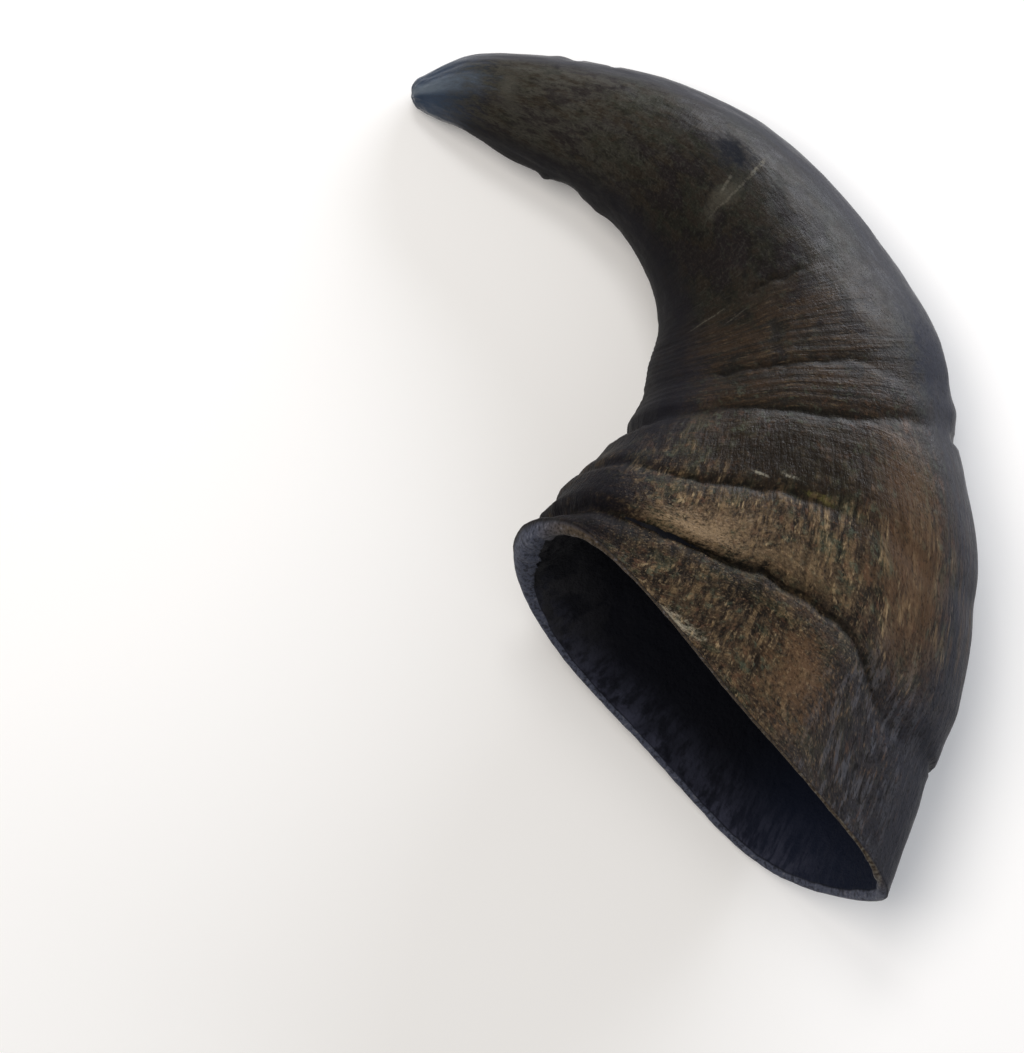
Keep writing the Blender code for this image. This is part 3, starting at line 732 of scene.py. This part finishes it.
def buffaloKeratin():
    # Buffalo horn is keratin, grown in layers, dried and left raw. The eye sees a dark, mottled brown with
    # fine growth lines, coarse pale fibres where it is weathered toward the base, a waxy sheen at low angles
    # and a polished tip.
    material = bpy.data.materials.new("buffaloKeratin")
    material.use_nodes = True
    tree = material.node_tree
    put = partial(addNode, tree)
    shader = tree.nodes["Principled BSDF"]

    skinMap = put("ShaderNodeAttribute", attribute_name="skinMap").outputs["Vector"]
    section = put("ShaderNodeAttribute", attribute_name="section").outputs["Vector"]
    mapParts = put("ShaderNodeSeparateXYZ", skinMap)
    sectionParts = put("ShaderNodeSeparateXYZ", section)
    # what the steps read: stations along the horn and along its rings, the angle round, the place in the
    # section, the part of the horn, and the patterns
    sources = {
        "place": put("ShaderNodeAttribute", attribute_name="place").outputs["Fac"],
        "depth": put("ShaderNodeAttribute", attribute_name="depthIn").outputs["Fac"],
        "groove": put("ShaderNodeAttribute", attribute_name="groove").outputs["Fac"],
        "ring": put("ShaderNodeMath", mapParts.outputs["Z"], stationLength, operation="DIVIDE"),
        "angle": put("ShaderNodeMath", mapParts.outputs["Y"], mapParts.outputs["X"], operation="ARCTAN2"),
        "across": sectionParts.outputs["X"],
        "up": sectionParts.outputs["Y"],
        "part": sectionParts.outputs["Z"],
    }
    for name, reach in keratinPatterns.items():
        scaled = put("ShaderNodeVectorMath", skinMap, tuple(1 / r for r in reach), operation="MULTIPLY")
        noise = put("ShaderNodeTexNoise", scaled, 1.0, patternDetail["skin"], patternDetail["roughness"],
                    label=name)
        sources[name] = noise.outputs["Fac"]
    solid = put("ShaderNodeTexCoord").outputs["Object"]
    for name, reach in solidPatterns.items():
        scaled = put("ShaderNodeVectorMath", solid, (1000 / reach,) * 3, operation="MULTIPLY")
        noise = put("ShaderNodeTexNoise", scaled, 1.0, patternDetail["solid"], patternDetail["roughness"],
                    label=name)
        sources[name] = noise.outputs["Fac"]
    mottling = put("ShaderNodeMath", sources["mottle"], 0.5, operation="SUBTRACT")
    tipEdge = put("ShaderNodeMath", mottling, tipRaggedness, sources["place"], operation="MULTIPLY_ADD")
    sources["tipEdge"] = tipEdge

    # colour: coats of the grown skin, then patches (some painted shade or highlight), darker edges (partly
    # painted shade), thin marks and what lies over them all (with painted shade in ring cores and hollow, and
    # a painted tip highlight)
    colours = {name: linearColour(tint) for name, tint in keratinColours.items()}
    colour = colours["dark"]
    for name, *steps in skinCoats:
        mask = maskOf(put, sources, steps)
        colour = put("ShaderNodeMix", mask, colour, colours[name], data_type="RGBA")
    dull = 0.0
    for name, (station, degrees, reachAlong, reachAround, tint, strength) in colourPatches.items():
        middle = onSkin(station, degrees)
        offset = put("ShaderNodeVectorMath", skinMap, middle, operation="SUBTRACT", label=name)
        reach = (1 / reachAround, 1 / reachAround, 1 / reachAlong)
        scaled = put("ShaderNodeVectorMath", offset, reach, operation="MULTIPLY")
        distance = put("ShaderNodeVectorMath", scaled, operation="LENGTH")
        blotched = put("ShaderNodeMath", sources["mottle"], patchEdge["blotch"], distance,
                       operation="MULTIPLY_ADD")
        grain = patchEdge["softGrain" if name in softPatches else "grain"]
        sources[name] = put("ShaderNodeMath", sources["speck"], grain, blotched, operation="MULTIPLY_ADD")
        edge = patchEdge["start"] + grain / 2
        mask = maskOf(put, sources, [(name, edge, edge + 1, strength, 0.0)])
        colour = put("ShaderNodeMix", mask, colour, linearColour(tint), data_type="RGBA")
        if name in dullPatches:
            dull = put("ShaderNodeMath", dull, mask, operation="MAXIMUM")
    for name, *steps in edgeCoats:
        mask = maskOf(put, sources, steps)
        colour = put("ShaderNodeMix", mask, colour, colours[name], data_type="RGBA")
    for name, (stationA, degreesA, stationB, degreesB, halfWidth, strength) in paleMarks.items():
        start, end = math.radians(degreesA), math.radians(degreesB)
        line = put("ShaderNodeMapRange", sources["angle"], start, end, stationA, stationB, label=name)
        away = put("ShaderNodeMath", sources["place"], line, operation="SUBTRACT")
        strayed = put("ShaderNodeMath", mottling, markEdge["stray"], away, operation="MULTIPLY_ADD")
        sources[name] = put("ShaderNodeMath", strayed, operation="ABSOLUTE")
        reach = halfWidth / stationLength
        fade = (end - start) * markEdge["fade"]
        steps = [
            (name, reach * markEdge["full"], reach, strength, 0.0),
            ("angle", start, start + fade, 0.0, 1.0),
            ("angle", end - fade, end, 1.0, 0.0),
            ("speck", 0.4, 0.54, 0.15, 1.0),
        ]
        mask = maskOf(put, sources, steps)
        colour = put("ShaderNodeMix", mask, colour, colours["scratch"], data_type="RGBA")
    for name, *steps in lastCoats:
        mask = maskOf(put, sources, steps)
        colour = put("ShaderNodeMix", mask, colour, colours[name], data_type="RGBA")
    tree.links.new(liveOutput(colour), shader.inputs["Base Color"])

    # gloss: waxy in the smooth half, duller toward the base, polished at the tip
    along = maskOf(put, sources, [("place", 8.2, 10.2, keratinGloss["smooth"], keratinGloss["base"])])
    swing = keratinGloss["patchiness"]
    patchy = put("ShaderNodeMapRange", sources["mottle"], 0.35, 0.65, -swing, swing)
    rough = put("ShaderNodeMath", along, patchy, operation="ADD")
    duller = [
        (dull, "dull"),
        (maskOf(put, sources, [("across", -0.3, -0.8, 0.0, 1.0)]), "inner"),
        (maskOf(put, sources, [("place", 2.25, 1.6, 0.0, 1.0), ("tipEdge", 2.1, 1.75, 0.0, 1.0)]), "tip"),
        (maskOf(put, sources, [hollowPart]), "hollow"),
    ]
    for mask, name in duller:
        rough = put("ShaderNodeMix", mask, rough, keratinGloss[name], data_type="FLOAT")
    tree.links.new(liveOutput(rough), shader.inputs["Roughness"])
    shader.inputs["IOR"].default_value = keratinGloss["refraction"]
    shader.inputs["Specular IOR Level"].default_value = keratinGloss["reflection"]

    # the finest relief
    height = 0.0
    for name, (rise, *steps) in fineRelief.items():
        strength = put("ShaderNodeMath", maskOf(put, sources, steps), rise, operation="MULTIPLY")
        height = put("ShaderNodeMath", sources[name], strength, height, operation="MULTIPLY_ADD")
    bump = put("ShaderNodeBump", label="grain")
    bump.inputs["Strength"].default_value = 1.0
    bump.inputs["Distance"].default_value = 1.0
    tree.links.new(liveOutput(height), bump.inputs["Height"])
    tree.links.new(bump.outputs["Normal"], shader.inputs["Normal"])
    print("keratin mixed:", len(tree.nodes), "nodes")
    return material


def makeHorn():
    keratin = buffaloKeratin()
    tree = hornTree(keratin)
    guide = bpy.data.objects.new("hornGuide", guideMesh())
    bpy.context.scene.collection.objects.link(guide)
    modifier = guide.modifiers.new("hornTree", "NODES")
    modifier.node_group = tree
    for item in tree.interface.items_tree:
        if item.in_out == "INPUT" and item.name in hornSizes:
            modifier[item.identifier] = hornSizes[item.name]
    graph = bpy.context.evaluated_depsgraph_get()
    mesh = bpy.data.meshes.new_from_object(guide.evaluated_get(graph))
    guide.modifiers.remove(modifier)
    bpy.data.objects.remove(guide)
    shell = bmesh.new()
    shell.from_mesh(mesh)
    bmesh.ops.remove_doubles(shell, verts=shell.verts, dist=hornSizes["weldDistance"] / 1000)
    bmesh.ops.recalc_face_normals(shell, faces=shell.faces)
    openEdges = sum(not edge.is_manifold for edge in shell.edges)

    # the modelled horn is set down in the frame: its outline fits the box that the solid keeps
    low, high = cadBox
    for axis in range(3):
        places = [vertex.co[axis] for vertex in shell.verts]
        lowest, highest = min(places), max(places)
        stretch = (high[axis] - low[axis]) / (highest - lowest)
        for vertex in shell.verts:
            vertex.co[axis] = low[axis] + (vertex.co[axis] - lowest) * stretch
    shell.to_mesh(mesh)
    shell.free()
    mesh.name = "keratinSheath"
    horn = bpy.data.objects.new("keratinSheath", mesh)
    bpy.context.scene.collection.objects.link(horn)
    print("horn made:", len(mesh.polygons), "faces,", openEdges, "open edges")
    return horn


horn = makeHorn()
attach(horn, "root")
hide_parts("horn")


# floor, light and camera, in metres
studio = {
    "floorColour": "#fbfbfb",
    "floorRoughness": 0.9,
    "floorReflection": 0.1,
    "floorSide": 6.0,
    "cameraPlace": (-0.0360, -0.0106, 0.8975),
    "lens": 150,
    "sensor": 36,
    "worldColour": "#e6e7e8",
    "worldStrength": 0.34,
}
# each soft light: degrees round from +X, degrees up, distance, width and depth in metres, colour, power in
# watts, and whether its reflection shows in a gloss
softLights = {
    "window": (95, 52, 1.1, (0.35, 0.25), "#fbfaf8", 2.5, False),
    "coolSide": (50, 14, 0.9, (0.9, 0.35), "#eceff6", 12.5, True),
    "overhead": (150, 68, 1.2, (0.7, 0.7), "#fff8f0", 7.4, False),
}


def makeFloor():
    side = studio["floorSide"] / 2
    mesh = bpy.data.meshes.new("floor")
    corners = [(-side, -side, 0), (side, -side, 0), (side, side, 0), (-side, side, 0)]
    mesh.from_pydata(corners, [], [(0, 1, 2, 3)])
    floor = bpy.data.objects.new("floor", mesh)
    paint = bpy.data.materials.new("mattePaint")
    paint.use_nodes = True
    shader = paint.node_tree.nodes["Principled BSDF"]
    shader.inputs["Base Color"].default_value = linearColour(studio["floorColour"])
    shader.inputs["Roughness"].default_value = studio["floorRoughness"]
    shader.inputs["Specular IOR Level"].default_value = studio["floorReflection"]
    mesh.materials.append(paint)
    bpy.context.scene.collection.objects.link(floor)


def makeLights():
    for name, (azimuth, up, distance, (width, depth), tint, watts, shows) in softLights.items():
        light = bpy.data.lights.new(name, "AREA")
        light.shape = "RECTANGLE"
        light.size, light.size_y = width, depth
        light.color = linearColour(tint)[:3]
        light.energy = watts
        lamp = bpy.data.objects.new(name, light)
        across, rise = math.radians(azimuth), math.radians(up)
        flatWay = math.cos(rise)
        way = Vector((math.cos(across) * flatWay, math.sin(across) * flatWay, math.sin(rise)))
        lamp.location = way * distance
        lamp.rotation_euler = (-way).to_track_quat("-Z", "Y").to_euler()
        lamp.visible_glossy = shows
        bpy.context.scene.collection.objects.link(lamp)
    world = bpy.data.worlds.new("paleRoom")
    world.use_nodes = True
    background = world.node_tree.nodes["Background"]
    background.inputs["Color"].default_value = linearColour(studio["worldColour"])
    background.inputs["Strength"].default_value = studio["worldStrength"]
    bpy.context.scene.world = world


def makeCamera():
    data = bpy.data.cameras.new("topCamera")
    data.lens = studio["lens"]
    data.sensor_width = studio["sensor"]
    camera = bpy.data.objects.new("topCamera", data)
    camera.location = studio["cameraPlace"]
    bpy.context.scene.collection.objects.link(camera)
    bpy.context.scene.camera = camera


makeFloor()
makeLights()
makeCamera()
bpy.context.scene.view_settings.view_transform = "Standard"
print("stage set")
